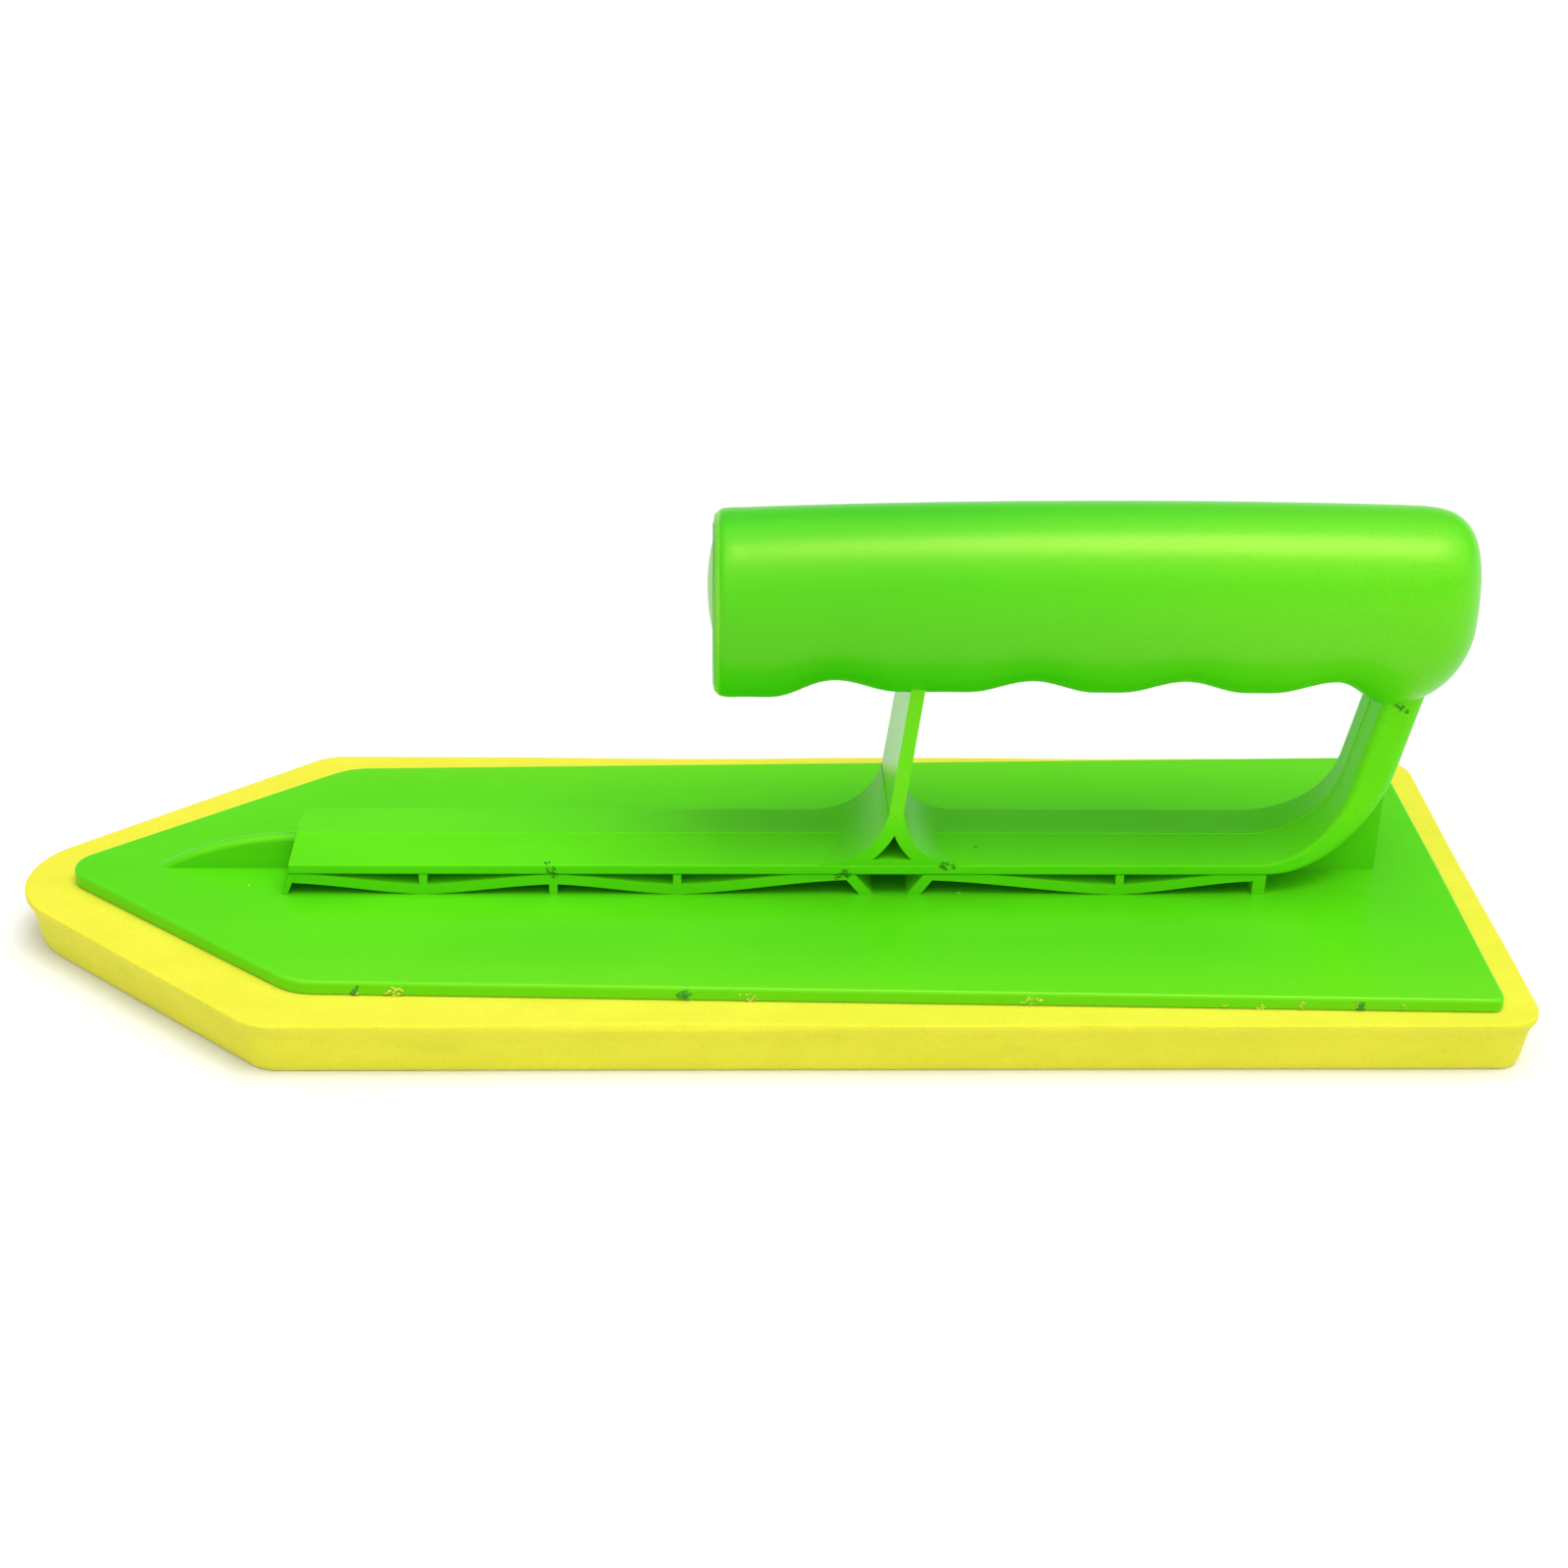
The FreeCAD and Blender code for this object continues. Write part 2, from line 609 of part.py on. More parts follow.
def handle_half_section(x, reach, inset):
    """Points down the right side of one section, from the parting line to itself.

    The section is full above, and drawn in a little towards the fingers.
    """
    count = 18
    middle_span = HANDLE_CROWN_X - HANDLE_FRONT_X
    swell = HANDLE_SWELL * ((x - HANDLE_CROWN_X) / middle_span) ** 2
    half = (HANDLE_HALF_WIDTH - swell) * cap_shrink(reach, CAP_POWER_SIDE) - inset
    rise = (handle_top(x) - HANDLE_MID_Z) * cap_shrink(reach, CAP_POWER_TOP) - inset
    fall = (HANDLE_MID_Z - handle_bottom(x)) * cap_shrink(reach, CAP_POWER_BOTTOM) - inset
    points = []
    for index in range(count + 1):
        angle = math.pi / 2 - math.pi * index / count
        power = 2 / (HANDLE_UPPER_POWER if index < count / 2 else HANDLE_LOWER_POWER)
        side = abs(math.cos(angle)) ** power if 0 < index < count else 0.0
        lift = math.copysign(abs(math.sin(angle)) ** power, math.sin(angle))
        height = rise if lift > 0 else fall
        points.append(Vector(x, half * side, HANDLE_MID_Z + height * lift))
    return points


def make_handle_blank():
    """Solid grip between a flat front face with a rounded edge and a domed rear end."""
    sections = []
    for angle in (90, 67, 45, 22):
        back = 1 - math.sin(math.radians(angle))
        inset = 1 - math.cos(math.radians(angle))
        sections.append(
            (HANDLE_FRONT_X + HANDLE_EDGE_ROUND * back, 0.0, HANDLE_EDGE_ROUND * inset))
    body_start = HANDLE_FRONT_X + HANDLE_EDGE_ROUND
    cap_start = HANDLE_REAR_X - CAP_LENGTH
    count = 44
    for index in range(count + 1):
        x = body_start + (cap_start - body_start) * index / count
        sections.append((x, 0.0, 0.0))
    for angle in (12, 24, 36, 47, 57, 66, 73, 79, 84):
        reach = math.sin(math.radians(angle))
        sections.append((cap_start + CAP_LENGTH * reach, reach, 0.0))
    surface = Part.BSplineSurface()
    surface.interpolate([handle_half_section(*section) for section in sections])
    right = surface.toShape()
    left = mirrored(right)
    caps = []
    for x in (HANDLE_FRONT_X, sections[-1][0]):
        rim = []
        for edge in right.Edges + left.Edges:
            if abs(edge.BoundBox.XMin - x) < 0.01 and edge.BoundBox.XLength < 0.01:
                rim.append(edge)
        caps.append(Part.Face(Part.Wire(Part.__sortEdges__(rim))))
    skin = Part.makeShell([right, left] + caps)
    skin.sewShape()
    blank = Part.makeSolid(Part.Shell(skin.Faces))
    blank.fix(0.001, 0.001, 0.001)
    return blank


def make_handle_bore():
    """Tapered core, closed at the rear, that the moulding is drawn off."""
    start = Vector(HANDLE_FRONT_X - 1, 0, BORE_Z)
    return Part.makeCone(BORE_RADIUS, BORE_TIP_RADIUS, BORE_DEPTH, start, Vector(1, 0, 0))


def make_end_plug():
    """Domed disc with a stem that presses into the bore."""
    dome_radius = (PLUG_RADIUS ** 2 + PLUG_DOME ** 2) / (2 * PLUG_DOME)
    centre = Vector(HANDLE_FRONT_X + dome_radius - PLUG_DOME, 0, BORE_Z)
    along = Vector(1, 0, 0)
    front = Vector(HANDLE_FRONT_X - PLUG_DOME - 1, 0, BORE_Z)
    disc = Part.makeCylinder(PLUG_RADIUS, PLUG_DOME + 1, front, along)
    disc = disc.common(Part.makeSphere(dome_radius, centre))
    stem_radius = BORE_RADIUS - (BORE_RADIUS - BORE_TIP_RADIUS) * PLUG_STEM_LENGTH / BORE_DEPTH
    stem_radius -= PLUG_CLEARANCE
    stem = Part.makeCylinder(
        stem_radius, PLUG_STEM_LENGTH, Vector(HANDLE_FRONT_X, 0, BORE_Z), along)
    return disc.fuse(stem).removeSplitter()


# ---- assembly --------------------------------------------------------------------------

def make_parts():
    plate = make_base_plate()
    rail = make_top_rail()
    handle_blank = make_handle_blank()
    rear_full = make_rear_post()
    front_wall = make_front_wall()
    fork_front, fork_rear, fork_web = make_fork()
    parts = {
        "foam_pad": make_foam_pad(),
        "glue_film": make_glue_film(),
        "base_plate": plate,
        "glue_beads": make_glue_beads(plate),
        "top_rail": rail,
        "front_fin": make_front_fin().cut(plate),
        "front_wall": front_wall.cut(plate),
        "centre_web": make_centre_web().cut(plate).cut(rear_full),
        "rear_gusset": make_rear_gusset(rear_full).cut(plate),
        "front_post": make_post_stem().cut(handle_blank),
        "post_foot_front": fork_front.cut(rail),
        "post_foot_rear": fork_rear.cut(rail),
        "post_foot_web": fork_web.cut(rail),
        "rear_post": rear_full.cut(handle_blank),
        "handle_grip": handle_blank.cut(make_handle_bore()),
        "end_plug": make_end_plug(),
    }
    brace_names = ("brace_front", "brace_rear")
    for side in ("left", "right"):
        braces = {}
        for name, top_x, foot_x in zip(brace_names, BRACE_TOP_X, BRACE_FOOT_X):
            braces[name] = make_brace(top_x, foot_x, side).cut(plate)
        front_wave = make_wave_strip(FRONT_SPANS, side)
        rear_wave = make_wave_strip(REAR_SPANS, side)
        end = make_strut(
            END_STRUT_X, END_STRUT_THICK, PLATE_EDGE_Z - ROOT_OVERLAP, RAIL_UNDER_Z, side)
        front_wave = front_wave.cut(plate).cut(front_wall)
        rear_wave = rear_wave.cut(plate).cut(end)
        parts["wave_strip_front_" + side] = front_wave.cut(braces["brace_front"])
        parts["wave_strip_rear_" + side] = rear_wave.cut(braces["brace_rear"])
        for name, brace in braces.items():
            parts[name + "_" + side] = brace
        for number, x in enumerate(UPPER_STRUT_X, 1):
            strut = make_strut(x, UPPER_STRUT_THICK, PLATE_RIDGE_Z, RAIL_UNDER_Z, side)
            strut = strut.cut(front_wave).cut(rear_wave)
            parts["upper_strut_%d_%s" % (number, side)] = max(
                strut.Solids, key=lambda piece: piece.CenterOfMass.z)
        lower = make_strut(
            WAVE_CRESTS[1], LOWER_STRUT_THICK, PLATE_EDGE_Z - ROOT_OVERLAP, RAIL_UNDER_Z, side)
        lower = lower.cut(plate).cut(front_wave)
        parts["lower_strut_" + side] = min(lower.Solids, key=lambda piece: piece.CenterOfMass.z)
        parts["end_strut_" + side] = end.cut(plate).cut(rear_full)
    return parts


def main():
    os.makedirs("parts", exist_ok=True)
    for name, shape in make_parts().items():
        solids = shape.Solids
        if not shape.isValid() or not solids:
            raise RuntimeError("bad shape: " + name)
        kept = solids[0] if len(solids) == 1 else Part.makeCompound(solids)
        kept.exportStep(os.path.join("parts", name + ".step"))
        print(name, len(solids), round(shape.Volume, 2))


main()
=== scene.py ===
"""Grout float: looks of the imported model, for a studio view from its left side and above."""
import math
import random

import bmesh
import bpy
from mathutils import Matrix, Vector, noise


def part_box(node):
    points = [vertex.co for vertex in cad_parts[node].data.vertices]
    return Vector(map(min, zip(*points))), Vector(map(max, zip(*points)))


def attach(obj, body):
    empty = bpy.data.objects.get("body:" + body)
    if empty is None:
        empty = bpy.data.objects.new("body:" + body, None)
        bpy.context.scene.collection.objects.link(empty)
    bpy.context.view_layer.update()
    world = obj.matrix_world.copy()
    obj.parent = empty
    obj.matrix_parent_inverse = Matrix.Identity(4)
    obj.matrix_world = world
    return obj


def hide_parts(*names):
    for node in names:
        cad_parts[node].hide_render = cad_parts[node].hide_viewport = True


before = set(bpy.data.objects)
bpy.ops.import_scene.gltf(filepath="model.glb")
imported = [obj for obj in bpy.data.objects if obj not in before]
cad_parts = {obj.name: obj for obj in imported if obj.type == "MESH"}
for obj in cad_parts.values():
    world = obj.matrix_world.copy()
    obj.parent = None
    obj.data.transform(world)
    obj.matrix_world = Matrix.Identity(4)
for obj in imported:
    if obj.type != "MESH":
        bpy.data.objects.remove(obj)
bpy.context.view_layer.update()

MM = 0.001

# ---- places read from the frame --------------------------------------------------------

PAD_LOW, PAD_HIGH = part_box("foam_pad")
PLATE_LOW, PLATE_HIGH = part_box("base_plate")
GRIP_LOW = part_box("handle_grip")[0]

# ---- camera ----------------------------------------------------------------------------

CAMERA_PLACE = Vector((-9.0, -373.4, 225.9)) * MM
CAMERA_YAW = math.radians(2.12)
CAMERA_DIP = math.radians(27.8)
CAMERA_ROLL = math.radians(1.12)
CAMERA_LENS = 56.25
CAMERA_SENSOR = 36.0
CAMERA_NEAR = 0.01
CAMERA_FAR = 20.0

# ---- studio ----------------------------------------------------------------------------

WHITE = (1.0, 1.0, 1.0)
FLOOR_HALF = 4.0
# soft boxes: name, strength, width, tilt from overhead and turn in degrees, colour
SUNS = (
    ("overhead_box", 1.35, 32, 14, 58, WHITE),
    ("front_box", 0.5, 60, 48, -14, (1.0, 0.96, 0.92)),
    ("right_box", 0.5, 50, 50, 80, (1.0, 0.93, 0.80)),
)
# light of the dome: axis, where along it the light changes, strength at each end
DOME_OVERHEAD = ("Z", 0.45, 1.0, 0.12, 1.15)
DOME_FRONT = ("Y", 0.1, -0.9, 0.0, 0.28)
DOME_WALL = ("Z", 0.10, 0.26, 0.75, 0.0)

# ---- foam pad --------------------------------------------------------------------------

PAD_NOSE_ANGLE = math.radians(41.0)
PAD_TIP_RADIUS = 15.0 * MM
PAD_SHOULDER_RADIUS = 9.0 * MM
PAD_CORNER_RADIUS = 6.0 * MM
PAD_SMALLEST_RADIUS = 0.4 * MM
PAD_STEP = 0.8 * MM
PAD_ARC_STEP = 0.7
PAD_ARC_TURN = 1.3
PAD_ARC_LEAST = 8

# (inset, height) down the wall: rounded lip, kink under it, leaning wall, rounded foot
PAD_WALL = (
    (0.3, 10.0), (0.12, 9.97), (0.03, 9.88), (0.0, 9.72), (0.0, 9.3), (0.08, 8.9),
    (0.3, 8.5), (0.6, 8.2), (0.85, 7.85), (0.98, 7.4), (1.08, 6.8), (1.19, 6.1),
    (1.31, 5.3), (1.43, 4.5), (1.56, 3.7), (1.69, 2.9), (1.82, 2.1), (1.94, 1.4),
    (2.05, 0.85), (2.17, 0.45), (2.36, 0.16), (2.6, 0.02), (2.9, 0.0),
)
PAD_TOP_RINGS = (13.5, 11.0, 8.0, 6.0, 4.6, 3.4, 2.4, 1.6, 0.9)
PAD_FOOT_RINGS = (4.0, 6.0, 9.0, 13.0)

# unevenness of the cut, in millimetres, with its waves per millimetre
CUT_WAVE = 0.10
CUT_WAVE_PITCH = 0.045
CUT_WAVE_LAYER = 3.0
CUT_FINE = 0.05
CUT_FINE_PITCH = 0.55
LIP_WEAR = 1.3
LIP_WEAR_PITCH = 0.021
LIP_WEAR_LAYER = 8.4
LIP_DEPTH = 1.6 * MM
LEAN_OUTWARD = 0.15
FLAT_FOOT = 0.01 * MM

PIT_SEED = 7
PIT_COUNT = 46
PIT_HEIGHTS = (1.2, 8.2)
PIT_RADII = (0.35, 0.8)
PIT_DEPTH = 0.35

# ---- plate outline behind its shoulder --------------------------------------------------

PLATE_SHOULDER_X = PLATE_LOW.x + 43.0 * MM
PLATE_NOSE_HALF = 37.4 * MM

# ---- scraps on the plate's left edge ----------------------------------------------------

# x, spread, number of flakes, flake length
SCRAPS = (
    (-58.7, 1.6, 9, 0.55), (-65.0, 0.9, 4, 0.4), (-1.5, 1.4, 9, 0.5), (43.8, 1.5, 8, 0.5),
    (75.4, 0.4, 2, 0.4), (81.0, 0.7, 4, 0.4), (87.7, 0.8, 5, 0.45), (97.0, 1.2, 3, 0.4),
    (104.4, 0.6, 3, 0.35),
)
# places of the dark green flakes that stand for the shade in nicks of the plate's edge: painted
# shade
NICKS = ((-64.9, 0.7, 4, 0.6), (-12.3, 1.0, 7, 0.9), (97.2, 0.5, 6, 0.75))
SCRAPS_SEED = 11
NICKS_SEED = 5

FLAKE_SPREAD = 0.5
FLAKE_LENGTHS = (0.5, 1.1)
FLAKE_LEAN = 0.9
FLAKE_SINK = 0.02 * MM
FLAKE_HEIGHTS = (0.1, 1.5)
FLAKE_THICK = 0.16 * MM
FLAKE_TALL = 0.45
FLAKE_TEAR = 0.7
FLAKE_TEAR_PITCH = 1.7
FLAKE_FRACTAL = (0.7, 2.3, 4)
FLAKE_BURIED = 0.05 * MM

# ---- green plastic ---------------------------------------------------------------------

PLATE_GREEN = (0.098, 0.66, 0.006)
# painted light: paler, warmer green towards the plate's long edges
PLATE_LIT_EDGE_GREEN = (0.130, 0.66, 0.008)
RAIL_GREEN = (0.102, 0.67, 0.006)
# painted light: lighter, warmer green for the posts
LIT_POST_GREEN = (0.145, 0.75, 0.008)
# painted shade: a darker copy of the green, for the centre web and the strip under the rail
SHADED_GREEN = (0.036, 0.37, 0.005)
GRIP_GREEN = (0.044, 0.60, 0.004)
# painted light: warmer, lighter green for the grip's rear
GRIP_LIT_REAR = (0.092, 0.66, 0.005)
# painted reflection: yellower green for the end plug
PLUG_REFLECTION_GREEN = (0.150, 0.66, 0.012)
# pale tone for the real chips on the plate and for the painted highlight on the grip's front rim
PALE_WEAR_AND_HIGHLIGHT = (0.34, 0.80, 0.07)
GRIME = (0.012, 0.075, 0.010)
GREEN_GLOSS = (1.0, 0.66, 0.22, 1.0)
DEEPER = (0.86, 0.93, 0.9)
PALER = (1.3, 1.06, 1.7)

# noise scales, in waves per metre along x, y and z; bands are the noise values used
FINE_SCALE = (1500, 1500, 1500)
CLOUD_SCALE = (28, 46, 46)
CLOUD_OFFSET = (3.1, 1.7, 0.4)
CLOUD_BAND = (0.3, 0.72)
FLOW_SCALE = (22, 640, 640)
FLOW_BAND = (0.45, 0.75)
SPECK_BAND = (0.45, 0.7)
SPECK_SHARE = 0.35
SCUFF_SCALE = (240, 800, 800)
SCUFF_BAND = (0.60, 0.80)
SCUFF_SHARE = 0.05
GLAZE_SPREAD = 0.02
GRAIN_DEPTH = 0.05 * MM
SINK_SCALE = (60, 90, 90)
SINK_SHARE = 0.15
SINK_DEPTH = 0.20 * MM

# smudges and chips: x, y, z and radius in millimetres
FRAME_SMUDGES = (
    (-35.0, -10.2, 17.6, 1.3), (-35.7, -9.4, 18.6, 0.9), (-34.4, -10.0, 16.5, 1.1),
    (15.2, -10.1, 16.8, 1.6), (13.9, -10.1, 16.2, 1.0), (32.2, -10.1, 18.4, 1.4),
    (33.6, -10.1, 18.2, 0.9), (38.2, -4.3, 19.0, 0.6), (108.3, -5.9, 46.8, 1.1),
    (107.2, -5.9, 47.2, 0.9), (109.3, -5.9, 46.1, 0.7),
)
PLATE_CHIPS = (
    (-50.4, -9.5, 12.7, 0.6), (-81.9, 14.9, 12.7, 0.6), (35.0, -9.4, 12.7, 0.6),
    (-87.0, -7.0, 12.7, 0.5),
)
RAGGED_SCALE = (1500, 1500, 2300)
RAGGED_BAND = (0.40, 0.58)
MARK_BAND = (0.10, 0.42)
MARK_SHARE = 0.8

# places of the layers, in millimetres
# place of the painted highlight round the grip's front rim
RIM_INSET = 0.75
RIM_LINE = (0.1 * MM, 0.55 * MM)
RIM_SHARE = 0.5
# run along the grip over which the painted light on its rear comes in
LIT_REAR_RUN = (25 * MM, 130 * MM)
# painted shade on the plate under the rail: its middle, side and end limits, and its share
UNDER_RAIL_SHADE_MIDDLE = 2
UNDER_RAIL_SHADE_SIDE = (7 * MM, 12 * MM)
UNDER_RAIL_SHADE_END = (78 * MM, 86 * MM)
UNDER_RAIL_SHADE_SHARE = 0.85
# painted light towards the plate's long edges: where it starts and ends, and its share
LIT_SIDE_BAND = (26 * MM, 40 * MM)
LIT_SIDE_SHARE = 0.8
# heights over which the painted light on the posts comes in
LIT_POST_RISE = (18.8 * MM, 30 * MM)

# ---- other materials -------------------------------------------------------------------

MIDDLE_BAND = (0.3, 0.7)
NARROW_BAND = (0.35, 0.65)

FOAM_TOP = ((0.735, 0.705, 0.032), (0.775, 0.735, 0.040))
FOAM_CUT = ((0.72, 0.70, 0.031), (0.755, 0.73, 0.035))
FOAM_GRIT = (0.60, 0.60, 0.024)
FOAM_SOIL = (0.47, 0.52, 0.03)
MOTTLE_SCALE = (90, 160, 160)
MOTTLE_DEPTH = 0.15 * MM
CUT_WANDER = 0.15 * MM
CUT_LIMIT = (9.45 * MM, 10.0 * MM)
GRIT_BAND = (0.50, 0.72)
GRIT_SHARE = 0.30
SOIL_SCALE = (26, 60, 120)
SOIL_OFFSET = (0.6, 2.2, 1.3)
SOIL_BAND = (0.54, 0.74)
SOIL_SHARE = 0.32
FOAM_ROUGH = (0.66, 0.86)
PORE_SCALE = (1300, 1300, 1300)
PORE_BAND = (0.0, 0.55)
PORE_DEPTH = 0.09 * MM

GLUE_TONES = ((0.60, 0.70, 0.06), (0.78, 0.74, 0.12))
GLUE_SCALE = (420, 420, 420)
GLUE_BAND = (0.35, 0.7)
GLUE_ROUGH = (0.28, 0.5)
LUMP_DEPTH = 0.15 * MM

CRUMB_TONES = ((0.60, 0.78, 0.06), (0.34, 0.62, 0.03))
# painted shade: dark greens for the flakes in the nicks of the plate's edge
NICK_SHADE_TONES = ((0.07, 0.42, 0.02), (0.03, 0.26, 0.012))
CRUMB_SCALE = (1700, 1700, 1700)
CRUMB_ROUGH = (0.35, 0.7)

FLOOR_TONES = ((0.84, 0.84, 0.84), (0.86, 0.86, 0.86))
FLOOR_SCALE = (6, 6, 6)
FLOOR_ROUGH = (0.8, 0.9)
FLOOR_DEPTH = 1 * MM


# ---- node helpers ----------------------------------------------------------------------

def smooth_range(tree, low, high, start, end):
    """Node that moves a value from low..high to start..end, smoothly, and holds it there."""
    node = tree.nodes.new("ShaderNodeMapRange")
    node.interpolation_type = "SMOOTHSTEP"
    for name, number in (
            ("From Min", low), ("From Max", high), ("To Min", start), ("To Max", end)):
        node.inputs[name].default_value = number
    return node


class Graph:
    """Short calls that add and join the nodes of one material."""

    def __init__(self, name):
        self.material = bpy.data.materials.new(name)
        self.material.use_nodes = True
        self.tree = self.material.node_tree
        self.shader = self.tree.nodes["Principled BSDF"]
        self.place = self.tree.nodes.new("ShaderNodeTexCoord").outputs["Object"]

    def join(self, source, target):
        """Link a socket to another, or set a plain number on it."""
        if isinstance(source, (int, float)):
            target.default_value = source
        else:
            self.tree.links.new(source, target)

    def stretched(self, scale, offset=(0, 0, 0)):
        """The place on the object, in metres, times a scale on each axis."""
        node = self.tree.nodes.new("ShaderNodeMapping")
        node.inputs["Scale"].default_value = scale
        node.inputs["Location"].default_value = offset
        self.join(self.place, node.inputs["Vector"])
        return node.outputs["Vector"]

    def noise(self, scale, detail=2.0, roughness=0.5, offset=(0, 0, 0)):
        """Cloudy noise with a number of waves per metre on each axis."""
        node = self.tree.nodes.new("ShaderNodeTexNoise")
        node.inputs["Scale"].default_value = 1.0
        node.inputs["Detail"].default_value = detail
        node.inputs["Roughness"].default_value = roughness
        self.join(self.stretched(scale, offset), node.inputs["Vector"])
        return node.outputs["Fac"]

    def cells(self, scale):
        """Distance to the middle of the nearest cell."""
        node = self.tree.nodes.new("ShaderNodeTexVoronoi")
        node.inputs["Scale"].default_value = 1.0
        self.join(self.stretched(scale), node.inputs["Vector"])
        return node.outputs["Distance"]

    def ramp(self, value, low, high, start=0.0, end=1.0):
        """Value moved from low..high to start..end, smoothly, and held there."""
        node = smooth_range(self.tree, low, high, start, end)
        self.join(value, node.inputs["Value"])
        return node.outputs["Result"]

    def math(self, kind, first, second):
        """Two values combined by one kind of arithmetic."""
        node = self.tree.nodes.new("ShaderNodeMath")
        node.operation = kind
        self.join(first, node.inputs[0])
        self.join(second, node.inputs[1])
        return node.outputs["Value"]

    def mix(self, factor, first, second):
        """Colour mix; each colour is a socket or three numbers."""
        node = self.tree.nodes.new("ShaderNodeMix")
        node.data_type = "RGBA"
        self.join(factor, node.inputs["Factor"])
        for socket, color in ((node.inputs[6], first), (node.inputs[7], second)):
            if isinstance(color, tuple):
                socket.default_value = (*color, 1.0)
            else:
                self.join(color, socket)
        return node.outputs[2]

    def distance_from(self, point, scale=(1, 1, 1)):
        """Distance from a point in millimetres, stretched by scale on each axis."""
        offset = [-part * MM * factor for part, factor in zip(point, scale)]
        node = self.tree.nodes.new("ShaderNodeVectorMath")
        node.operation = "LENGTH"
        self.join(self.stretched(scale, offset), node.inputs[0])
        return node.outputs["Value"]

    def bump(self, height, strength, distance, below=None):
        """Small relief, laid over the relief below it."""
        node = self.tree.nodes.new("ShaderNodeBump")
        node.inputs["Strength"].default_value = strength
        node.inputs["Distance"].default_value = distance
        self.join(height, node.inputs["Height"])
        if below is not None:
            self.join(below, node.inputs["Normal"])
        return node.outputs["Normal"]

    def finish(self, color, roughness, normal, **constants):
        """The finished material; the constants go on the shader's own sockets."""
        self.join(color, self.shader.inputs["Base Color"])
        self.join(roughness, self.shader.inputs["Roughness"])
        self.join(normal, self.shader.inputs["Normal"])
        for name, value in constants.items():
            self.shader.inputs[name.replace("_", " ")].default_value = value
        return self.material


# ---- layers of the green plastic --------------------------------------------------------

def marks(spots, tone):
    """Layer of torn marks of one tone."""
    def layer(graph):
        ragged = graph.ramp(graph.noise(RAGGED_SCALE, detail=4.0, roughness=0.7), *RAGGED_BAND)
        total = 0.0
        for x, y, z, radius in spots:
            near = graph.ramp(graph.distance_from((x, y, z)), 0.0, radius * MM, 1.0, 0.0)
            total = graph.math("MAXIMUM", near, total)
        torn = graph.ramp(graph.math("MULTIPLY", total, ragged), *MARK_BAND)
        return graph.math("MULTIPLY", torn, MARK_SHARE), tone
    return layer


def painted_highlight_rim(graph):
    """Painted highlight: pale line round the front rim of the grip."""
    across = graph.distance_from((GRIP_LOW.x / MM + RIM_INSET, 0, 0), (1, 0, 0))
    return graph.ramp(across, *RIM_LINE, RIM_SHARE, 0.0), PALE_WEAR_AND_HIGHLIGHT


def painted_light_rear(graph):
    """Painted light: warmer, lighter rear half of the grip."""
    across = graph.distance_from((GRIP_LOW.x / MM, 0, 0), (1, 0, 0))
    return graph.ramp(across, *LIT_REAR_RUN), GRIP_LIT_REAR


def painted_shade_under_rail(graph):
    """Painted shade: darker strip of the plate under the rail, where the rail's shade falls."""
    across = graph.distance_from((0, 0, 0), (0, 1, 0))
    along = graph.distance_from((UNDER_RAIL_SHADE_MIDDLE, 0, 0), (1, 0, 0))
    strip = graph.math(
        "MULTIPLY", graph.ramp(across, *UNDER_RAIL_SHADE_SIDE, UNDER_RAIL_SHADE_SHARE, 0.0),
        graph.ramp(along, *UNDER_RAIL_SHADE_END, 1.0, 0.0))
    return strip, SHADED_GREEN


def painted_light_sides(graph):
    """Painted light: slightly paler plastic towards the plate's long edges."""
    across = graph.distance_from((0, 0, 0), (0, 1, 0))
    return graph.ramp(across, *LIT_SIDE_BAND, 0.0, LIT_SIDE_SHARE), PLATE_LIT_EDGE_GREEN


def painted_light_posts(graph):
    """Painted light: the posts are painted a little lighter than the rail that they rise from.
    """
    height = graph.distance_from((0, 0, 0), (0, 0, 1))
    return graph.ramp(height, *LIT_POST_RISE), LIT_POST_GREEN


# ---- materials -------------------------------------------------------------------------

def green_plastic(name, base, layers=(), streaks=0.09, shine=0.45, rough=0.27, grain=0.10):
    """Moulded plastic: faint flow streaks along the float, fine grain and scuffs."""
    graph = Graph(name)
    deep = tuple(part * share for part, share in zip(base, DEEPER))
    pale = tuple(part * share for part, share in zip(base, PALER))
    cloud = graph.noise(CLOUD_SCALE, detail=2.0, offset=CLOUD_OFFSET)
    color = graph.mix(graph.ramp(cloud, *CLOUD_BAND), base, deep)
    for layer in layers:
        mask, tone = layer(graph)
        color = graph.mix(mask, color, tone)
    flow = graph.noise(FLOW_SCALE, detail=4.0, roughness=0.6)
    streaked = graph.math("MULTIPLY", graph.ramp(flow, *FLOW_BAND), streaks)
    color = graph.mix(streaked, color, pale)
    speck = graph.noise(FINE_SCALE, detail=3.0, roughness=0.7)
    color = graph.mix(graph.ramp(speck, *SPECK_BAND, 0.0, SPECK_SHARE), color, deep)
    scuff = graph.ramp(graph.noise(SCUFF_SCALE, detail=5.0, roughness=0.7), *SCUFF_BAND)
    color = graph.mix(graph.math("MULTIPLY", scuff, SCUFF_SHARE), color, pale)
    glaze = graph.ramp(cloud, 0.0, 1.0, rough, rough + GLAZE_SPREAD)
    fine = graph.bump(speck, grain, GRAIN_DEPTH)
    sink = graph.bump(graph.noise(SINK_SCALE, detail=1.0), SINK_SHARE, SINK_DEPTH, fine)
    return graph.finish(
        color, glaze, sink, Specular_IOR_Level=shine, Specular_Tint=GREEN_GLOSS)


